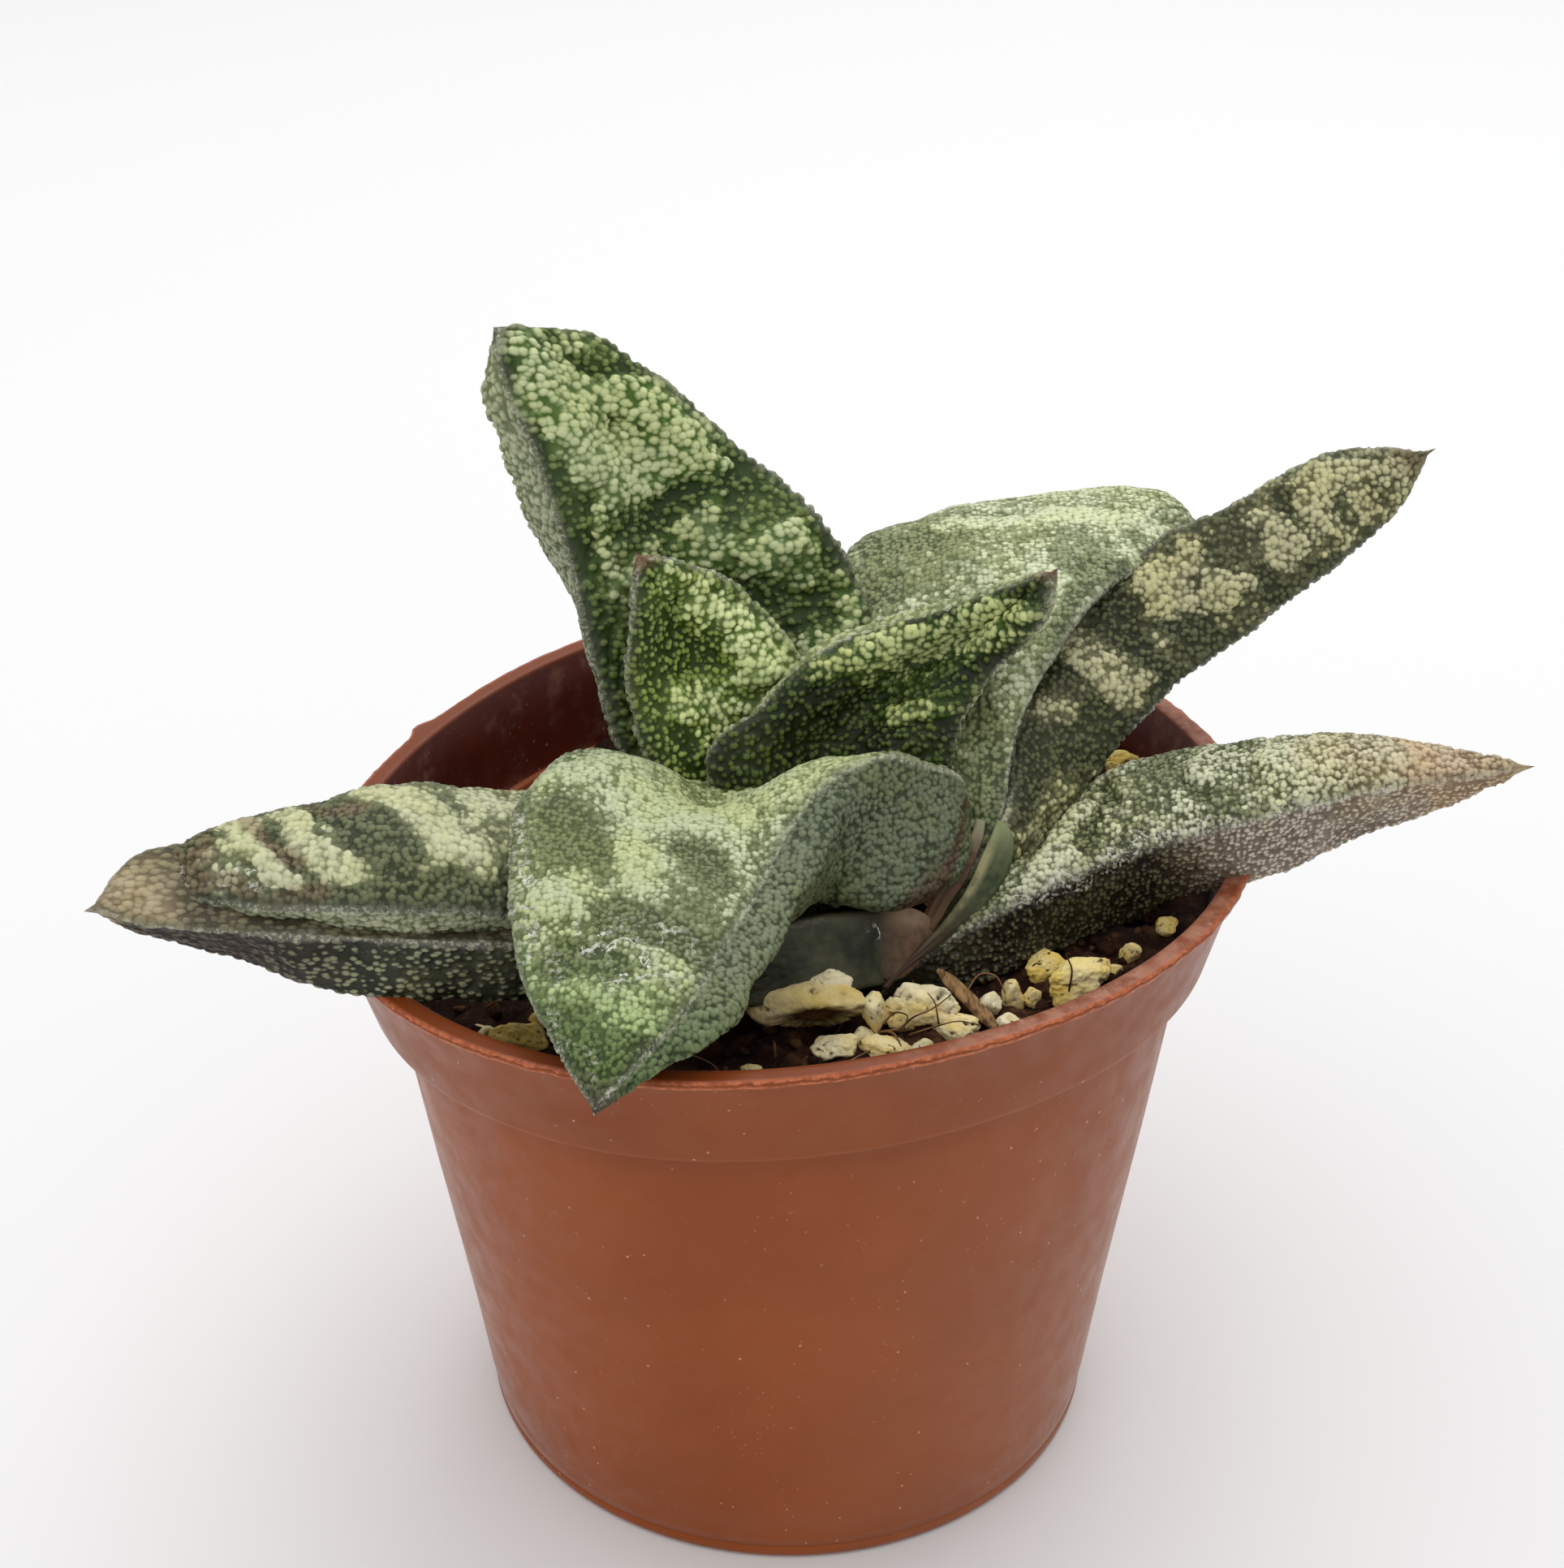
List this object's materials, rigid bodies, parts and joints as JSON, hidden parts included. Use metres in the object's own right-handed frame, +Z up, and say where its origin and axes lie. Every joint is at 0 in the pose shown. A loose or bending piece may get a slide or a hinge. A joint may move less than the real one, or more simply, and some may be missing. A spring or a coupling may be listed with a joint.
{
  "type": "potted gasteria",
  "caption": "Small potted gasteria: thick, warty, tongue-shaped leaves in two ranks from a short stem, in peat with pumice grains in a thin plastic nursery pot.",
  "frame": {"origin": "centre of the underside of the pot", "axes": "+Z up along the pot's axis; -Y is the front, which the plant leans towards; +X to the right as seen from the front"},
  "size_m": [0.1231, 0.0924, 0.1088],
  "materials": {
    "pot_plastic": "satin",
    "leaf_upright_skin": "satin",
    "leaf_young_left_skin": "satin",
    "leaf_young_right_skin": "satin",
    "leaf_back_skin": "satin",
    "leaf_upper_right_skin": "satin",
    "leaf_lower_right_skin": "satin",
    "leaf_front_skin": "satin",
    "leaf_left_upper_skin": "satin",
    "leaf_left_lower_skin": "satin",
    "stem_bark": "matte",
    "peat": "matte",
    "bark_splinter": "matte",
    "pumice_front_stone": "matte",
    "pumice_right_stone": "matte",
    "pumice_rim_near_stone": "matte",
    "pumice_rim_far_stone": "matte",
    "pumice_back_stone": "matte",
    "pumice_left_stone": "matte"
  },
  "bodies": {
    "root": {"pot": "pot_plastic", "leaf_upright": "leaf_upright_skin", "leaf_young_left": "leaf_young_left_skin", "leaf_young_right": "leaf_young_right_skin", "leaf_back": "leaf_back_skin", "leaf_upper_right": "leaf_upper_right_skin", "leaf_lower_right": "leaf_lower_right_skin", "leaf_front": "leaf_front_skin", "leaf_left_upper": "leaf_left_upper_skin", "leaf_left_lower": "leaf_left_lower_skin", "stem": "stem_bark", "soil": "peat", "splinter": "bark_splinter", "pumice_front": "pumice_front_stone", "pumice_right": "pumice_right_stone", "pumice_rim_near": "pumice_rim_near_stone", "pumice_rim_far": "pumice_rim_far_stone", "pumice_back": "pumice_back_stone", "pumice_left": "pumice_left_stone"}
  },
  "joints": []
}
